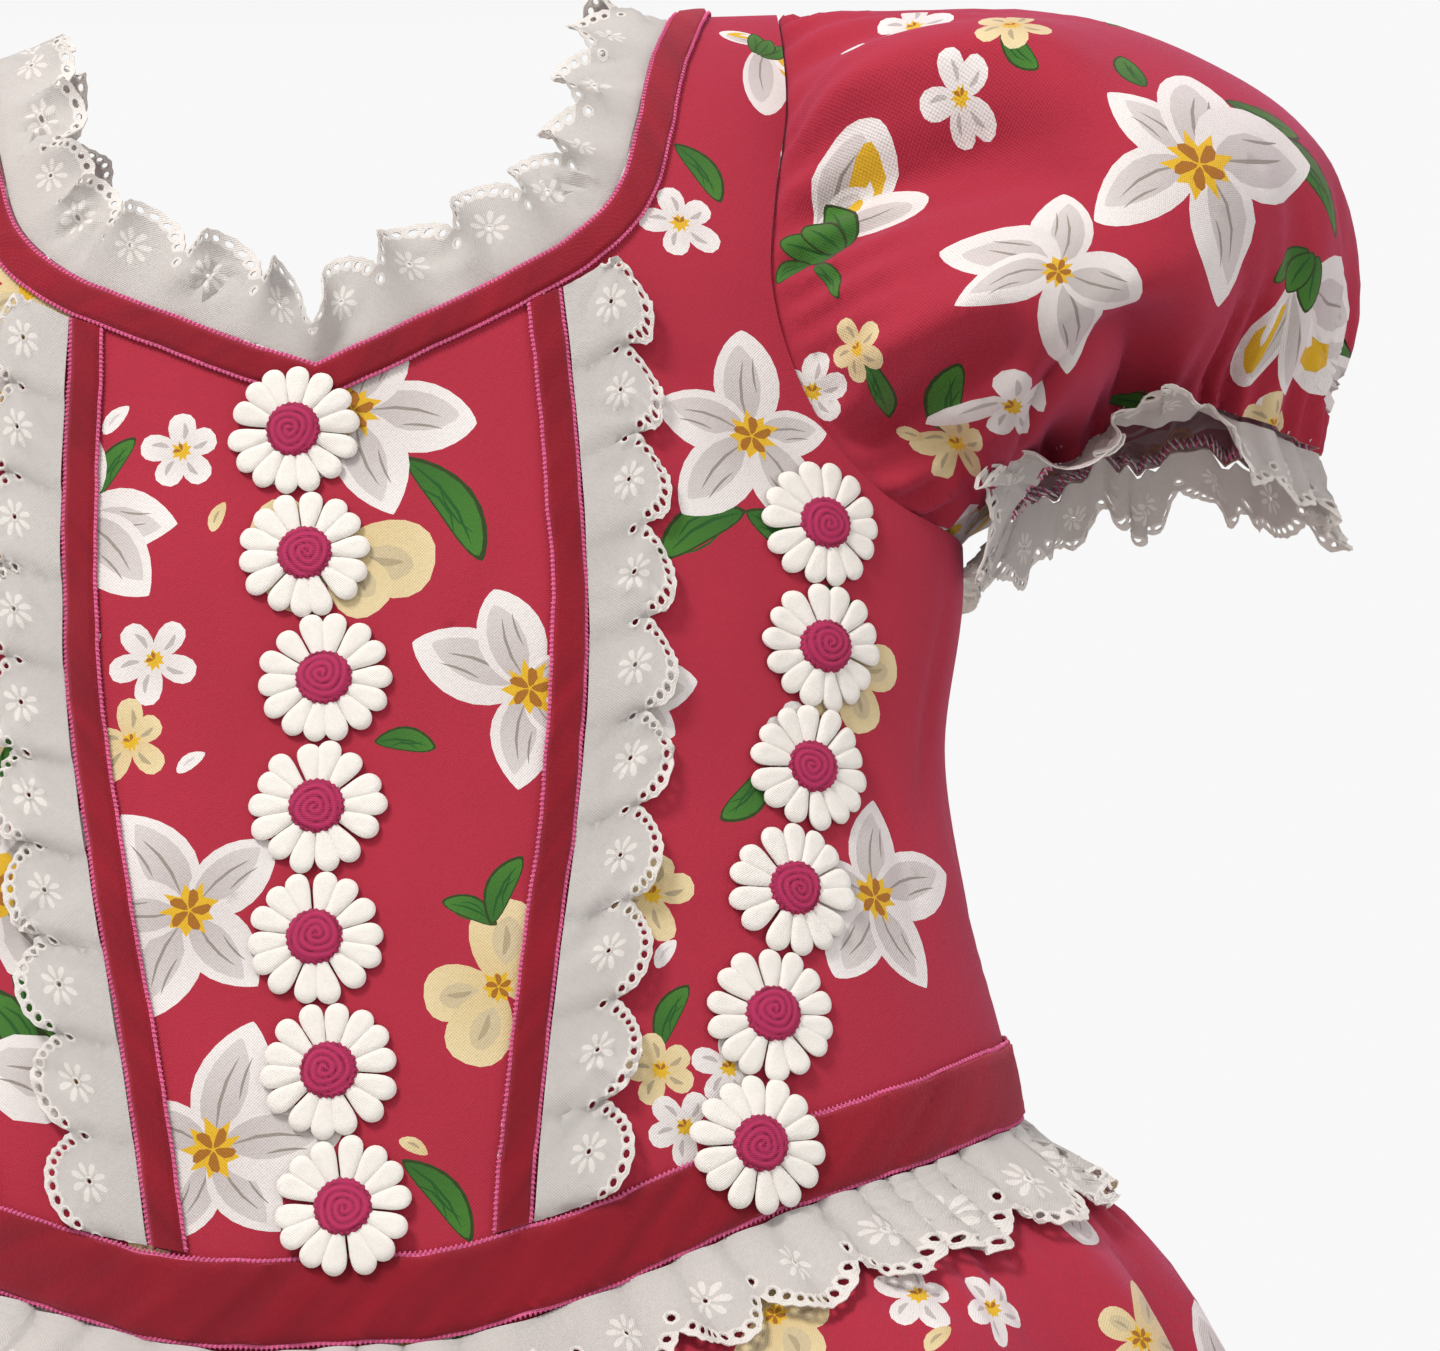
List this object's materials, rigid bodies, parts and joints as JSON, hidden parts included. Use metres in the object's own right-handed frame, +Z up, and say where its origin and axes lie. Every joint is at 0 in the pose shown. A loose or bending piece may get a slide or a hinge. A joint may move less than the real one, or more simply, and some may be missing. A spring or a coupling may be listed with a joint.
{
  "type": "child's huasa dress",
  "caption": "Girl's huasa dress in floral cotton, filled out as worn: princess-seam bodice with velvet ribbon, eyelet lace and daisy trim, puff sleeves and a gathered skirt.",
  "frame": {"origin": "on the shoulder line, midway between the shoulders", "axes": "+Z up towards the neck, -Y out of the dress's front, +X towards the wearer's left"},
  "size_m": [0.5282, 0.3659, 0.6063],
  "materials": {
    "print_cotton": "raspberry red cotton with a white and cream flower print",
    "velvet": "dark red velvet ribbon with pink edges",
    "broderie": "white eyelet edging, gathered",
    "guipure": "white guipure daisies with magenta centres",
    "zip_tape": "woven tape",
    "nickel": "nickel-plated"
  },
  "bodies": {
    "dress": {"front_centre": "print_cotton", "front_side_left": "print_cotton", "front_side_right": "print_cotton", "back_left": "print_cotton", "back_right": "print_cotton", "skirt_front": "print_cotton", "skirt_back_left": "print_cotton", "skirt_back_right": "print_cotton", "sleeve_left": "print_cotton", "sleeve_right": "print_cotton", "cuff_lace_left": "broderie", "cuff_lace_right": "broderie", "neck_lace": "broderie", "princess_lace_left": "broderie", "princess_lace_right": "broderie", "waist_lace": "broderie", "neck_ribbon": "velvet", "princess_ribbon_left": "velvet", "princess_ribbon_right": "velvet", "waistband": "velvet", "daisy_trim_centre": "guipure", "daisy_trim_left": "guipure", "daisy_trim_right": "guipure", "zip_tape": "zip_tape", "zip_slider": "nickel"},
    "tab": {"pull_tab": "nickel"}
  },
  "joints": [
    {"name": "zip_pull_tab", "type": "hinge", "parent": "dress", "child": "tab", "pos_m": [0, 0.05352, -0.07257], "axis": [1, 0, 0], "range_deg": [-7, 165]}
  ]
}
